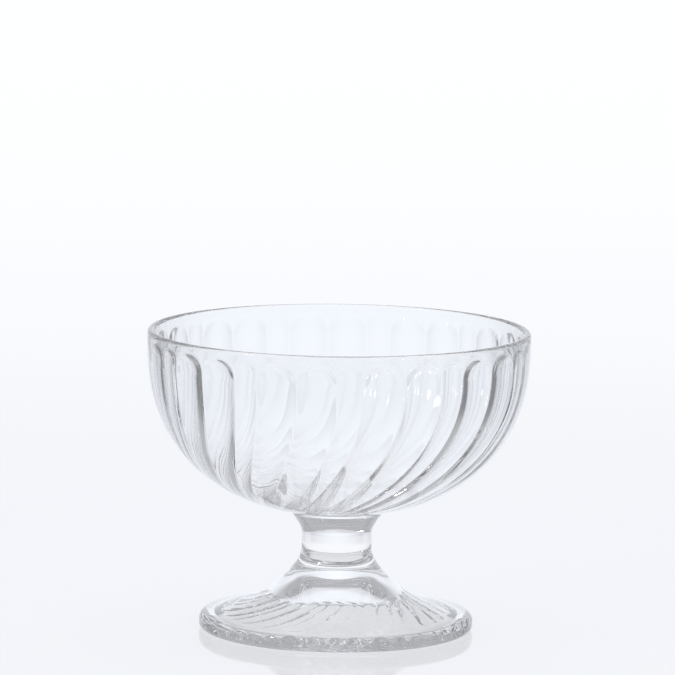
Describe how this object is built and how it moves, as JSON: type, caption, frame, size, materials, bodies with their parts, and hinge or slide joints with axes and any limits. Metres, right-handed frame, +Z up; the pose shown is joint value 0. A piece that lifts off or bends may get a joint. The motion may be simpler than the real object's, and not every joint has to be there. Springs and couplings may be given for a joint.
{
  "type": "sorbet coupe",
  "caption": "Clear pressed-glass sorbet coupe: a deep round bowl with swirling flutes inside, on a short solid stem and a flared foot, for serving sorbet, ice cream or fruit.",
  "frame": {"origin": "on the coupe's axis, in the plane of the foot's resting ring", "axes": "+Z up along the axis of the coupe; +X to the right and -Y towards the viewer in the picture"},
  "size_m": [0.095, 0.095, 0.075],
  "materials": {
    "clear_glass": "fire-polished clear gloss"
  },
  "bodies": {
    "root": {"bowl": "clear_glass", "stem": "clear_glass", "foot": "clear_glass"}
  },
  "joints": []
}
